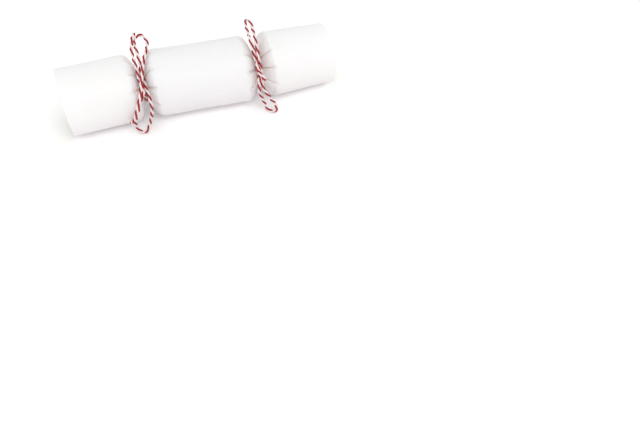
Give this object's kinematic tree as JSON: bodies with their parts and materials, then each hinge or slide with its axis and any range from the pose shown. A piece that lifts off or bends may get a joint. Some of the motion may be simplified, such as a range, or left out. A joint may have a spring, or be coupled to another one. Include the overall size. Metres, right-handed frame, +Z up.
{
  "type": "christmas cracker",
  "caption": "White card cracker with a round barrel, two open end tubes, necks of folded card leaves tied with twine bows, and a snap, crown, motto and spinning top inside.",
  "frame": {"origin": "on the table under the middle of the barrel", "axes": "+X along the barrel from the left end tube to the right one, +Y away from the bows' side, +Z up"},
  "size_m": [0.2052, 0.0617, 0.0595],
  "materials": {
    "white_card": "smooth white card with a satin face and tan laser-cut edges",
    "baker_twine": "two-ply cotton twine, one ply deep red and one white",
    "snap_card": "plain buff card",
    "snap_paper": "thin unbleached paper",
    "snap_charge": "dry grey dab, matt and gritty",
    "crown_tissue": "thin red tissue paper",
    "motto_paper": "plain off-white paper",
    "top_wood": "turned beech, unvarnished"
  },
  "bodies": {
    "barrel": {"barrel_tube": "white_card", "paper_crown": "crown_tissue", "motto_slip": "motto_paper", "gift_top": "top_wood"},
    "left_leaf_01": {"barrel_left_leaf_01": "white_card"},
    "left_leaf_02": {"barrel_left_leaf_02": "white_card"},
    "left_leaf_03": {"barrel_left_leaf_03": "white_card"},
    "left_leaf_04": {"barrel_left_leaf_04": "white_card"},
    "left_leaf_05": {"barrel_left_leaf_05": "white_card"},
    "left_leaf_06": {"barrel_left_leaf_06": "white_card"},
    "left_leaf_07": {"barrel_left_leaf_07": "white_card"},
    "left_leaf_08": {"barrel_left_leaf_08": "white_card"},
    "left_leaf_09": {"barrel_left_leaf_09": "white_card"},
    "left_leaf_10": {"barrel_left_leaf_10": "white_card"},
    "left_leaf_11": {"barrel_left_leaf_11": "white_card"},
    "right_leaf_01": {"barrel_right_leaf_01": "white_card"},
    "right_leaf_02": {"barrel_right_leaf_02": "white_card"},
    "right_leaf_03": {"barrel_right_leaf_03": "white_card"},
    "right_leaf_04": {"barrel_right_leaf_04": "white_card"},
    "right_leaf_05": {"barrel_right_leaf_05": "white_card"},
    "right_leaf_06": {"barrel_right_leaf_06": "white_card"},
    "right_leaf_07": {"barrel_right_leaf_07": "white_card"},
    "right_leaf_08": {"barrel_right_leaf_08": "white_card"},
    "right_leaf_09": {"barrel_right_leaf_09": "white_card"},
    "right_leaf_10": {"barrel_right_leaf_10": "white_card"},
    "right_leaf_11": {"barrel_right_leaf_11": "white_card"},
    "left_end": {"left_end_tube": "white_card", "left_end_leaves": "white_card", "left_tie": "baker_twine", "snap_left_strip": "snap_card", "snap_sleeve": "snap_paper", "snap_charge": "snap_charge"},
    "right_end": {"right_end_tube": "white_card", "right_end_leaves": "white_card", "right_tie": "baker_twine", "snap_right_strip": "snap_card", "snap_striker": "snap_charge"}
  },
  "joints": [
    {"name": "left_pull", "type": "slide", "parent": "barrel", "child": "left_end", "axis": [-1, 0, 0], "range_m": [0, 0.12]},
    {"name": "right_pull", "type": "slide", "parent": "barrel", "child": "right_end", "axis": [1, 0, 0], "range_m": [0, 0.12]},
    {"name": "left_leaf_01_fold", "type": "hinge", "parent": "barrel", "child": "left_leaf_01", "pos_m": [-0.03545, -0.0233, 0.03124], "axis": [0, 0.2588, 0.9659], "range_deg": [0, 48]},
    {"name": "left_leaf_02_fold", "type": "hinge", "parent": "barrel", "child": "left_leaf_02", "pos_m": [-0.03545, -0.01623, 0.04285], "axis": [0, 0.74, 0.6727], "range_deg": [0, 48]},
    {"name": "left_leaf_03_fold", "type": "hinge", "parent": "barrel", "child": "left_leaf_03", "pos_m": [-0.03545, -0.004, 0.04879], "axis": [0, 0.9862, 0.1658], "range_deg": [0, 48]},
    {"name": "left_leaf_04_fold", "type": "hinge", "parent": "barrel", "child": "left_leaf_04", "pos_m": [-0.03545, 0.0095, 0.04718], "axis": [0, 0.9193, -0.3937], "range_deg": [0, 48]},
    {"name": "left_leaf_05_fold", "type": "hinge", "parent": "barrel", "child": "left_leaf_05", "pos_m": [-0.03545, 0.01998, 0.03852], "axis": [0, 0.5605, -0.8281], "range_deg": [0, 48]},
    {"name": "left_leaf_06_fold", "type": "hinge", "parent": "barrel", "child": "left_leaf_06", "pos_m": [-0.03545, 0.02412, 0.02557], "axis": [0, 0.0238, -0.9997], "range_deg": [0, 48]},
    {"name": "left_leaf_07_fold", "type": "hinge", "parent": "barrel", "child": "left_leaf_07", "pos_m": [-0.03545, 0.0206, 0.01244], "axis": [0, -0.5205, -0.8539], "range_deg": [0, 48]},
    {"name": "left_leaf_08_fold", "type": "hinge", "parent": "barrel", "child": "left_leaf_08", "pos_m": [-0.03545, 0.01054, 0.0033], "axis": [0, -0.8995, -0.4369], "range_deg": [0, 48]},
    {"name": "left_leaf_09_fold", "type": "hinge", "parent": "barrel", "child": "left_leaf_09", "pos_m": [-0.03545, -0.00286, 0.00105], "axis": [0, -0.9929, 0.1187], "range_deg": [0, 48]},
    {"name": "left_leaf_10_fold", "type": "hinge", "parent": "barrel", "child": "left_leaf_10", "pos_m": [-0.03545, -0.01536, 0.0064], "axis": [0, -0.7711, 0.6367], "range_deg": [0, 48]},
    {"name": "left_leaf_11_fold", "type": "hinge", "parent": "barrel", "child": "left_leaf_11", "pos_m": [-0.03545, -0.02298, 0.01766], "axis": [0, -0.3045, 0.9525], "range_deg": [0, 48]},
    {"name": "right_leaf_01_fold", "type": "hinge", "parent": "barrel", "child": "right_leaf_01", "pos_m": [0.03545, 0.02411, 0.02563], "axis": [0, -0.0262, 0.9997], "range_deg": [0, 48]},
    {"name": "right_leaf_02_fold", "type": "hinge", "parent": "barrel", "child": "right_leaf_02", "pos_m": [0.03545, 0.01995, 0.03857], "axis": [0, -0.5625, 0.8268], "range_deg": [0, 48]},
    {"name": "right_leaf_03_fold", "type": "hinge", "parent": "barrel", "child": "right_leaf_03", "pos_m": [0.03545, 0.00944, 0.0472], "axis": [0, -0.9202, 0.3915], "range_deg": [0, 48]},
    {"name": "right_leaf_04_fold", "type": "hinge", "parent": "barrel", "child": "right_leaf_04", "pos_m": [0.03545, -0.00406, 0.04878], "axis": [0, -0.9858, -0.1682], "range_deg": [0, 48]},
    {"name": "right_leaf_05_fold", "type": "hinge", "parent": "barrel", "child": "right_leaf_05", "pos_m": [0.03545, -0.01627, 0.04281], "axis": [0, -0.7383, -0.6744], "range_deg": [0, 48]},
    {"name": "right_leaf_06_fold", "type": "hinge", "parent": "barrel", "child": "right_leaf_06", "pos_m": [0.03545, -0.02331, 0.03119], "axis": [0, -0.2565, -0.9665], "range_deg": [0, 48]},
    {"name": "right_leaf_07_fold", "type": "hinge", "parent": "barrel", "child": "right_leaf_07", "pos_m": [0.03545, -0.02296, 0.0176], "axis": [0, 0.3068, -0.9518], "range_deg": [0, 48]},
    {"name": "right_leaf_08_fold", "type": "hinge", "parent": "barrel", "child": "right_leaf_08", "pos_m": [0.03545, -0.01531, 0.00636], "axis": [0, 0.7726, -0.6349], "range_deg": [0, 48]},
    {"name": "right_leaf_09_fold", "type": "hinge", "parent": "barrel", "child": "right_leaf_09", "pos_m": [0.03545, -0.00281, 0.00104], "axis": [0, 0.9932, -0.1164], "range_deg": [0, 48]},
    {"name": "right_leaf_10_fold", "type": "hinge", "parent": "barrel", "child": "right_leaf_10", "pos_m": [0.03545, 0.01059, 0.00333], "axis": [0, 0.8984, 0.4391], "range_deg": [0, 48]},
    {"name": "right_leaf_11_fold", "type": "hinge", "parent": "barrel", "child": "right_leaf_11", "pos_m": [0.03545, 0.02063, 0.01249], "axis": [0, 0.5184, 0.8551], "range_deg": [0, 48]}
  ],
  "couplings": [
    {"joint": "left_leaf_01_fold", "follows": "left_pull", "rad_per_m": 6.98},
    {"joint": "left_leaf_02_fold", "follows": "left_pull", "rad_per_m": 6.98},
    {"joint": "left_leaf_03_fold", "follows": "left_pull", "rad_per_m": 6.98},
    {"joint": "left_leaf_04_fold", "follows": "left_pull", "rad_per_m": 6.98},
    {"joint": "left_leaf_05_fold", "follows": "left_pull", "rad_per_m": 6.98},
    {"joint": "left_leaf_06_fold", "follows": "left_pull", "rad_per_m": 6.98},
    {"joint": "left_leaf_07_fold", "follows": "left_pull", "rad_per_m": 6.98},
    {"joint": "left_leaf_08_fold", "follows": "left_pull", "rad_per_m": 6.98},
    {"joint": "left_leaf_09_fold", "follows": "left_pull", "rad_per_m": 6.98},
    {"joint": "left_leaf_10_fold", "follows": "left_pull", "rad_per_m": 6.98},
    {"joint": "left_leaf_11_fold", "follows": "left_pull", "rad_per_m": 6.98},
    {"joint": "right_leaf_01_fold", "follows": "right_pull", "rad_per_m": 6.98},
    {"joint": "right_leaf_02_fold", "follows": "right_pull", "rad_per_m": 6.98},
    {"joint": "right_leaf_03_fold", "follows": "right_pull", "rad_per_m": 6.98},
    {"joint": "right_leaf_04_fold", "follows": "right_pull", "rad_per_m": 6.98},
    {"joint": "right_leaf_05_fold", "follows": "right_pull", "rad_per_m": 6.98},
    {"joint": "right_leaf_06_fold", "follows": "right_pull", "rad_per_m": 6.98},
    {"joint": "right_leaf_07_fold", "follows": "right_pull", "rad_per_m": 6.98},
    {"joint": "right_leaf_08_fold", "follows": "right_pull", "rad_per_m": 6.98},
    {"joint": "right_leaf_09_fold", "follows": "right_pull", "rad_per_m": 6.98},
    {"joint": "right_leaf_10_fold", "follows": "right_pull", "rad_per_m": 6.98},
    {"joint": "right_leaf_11_fold", "follows": "right_pull", "rad_per_m": 6.98}
  ]
}
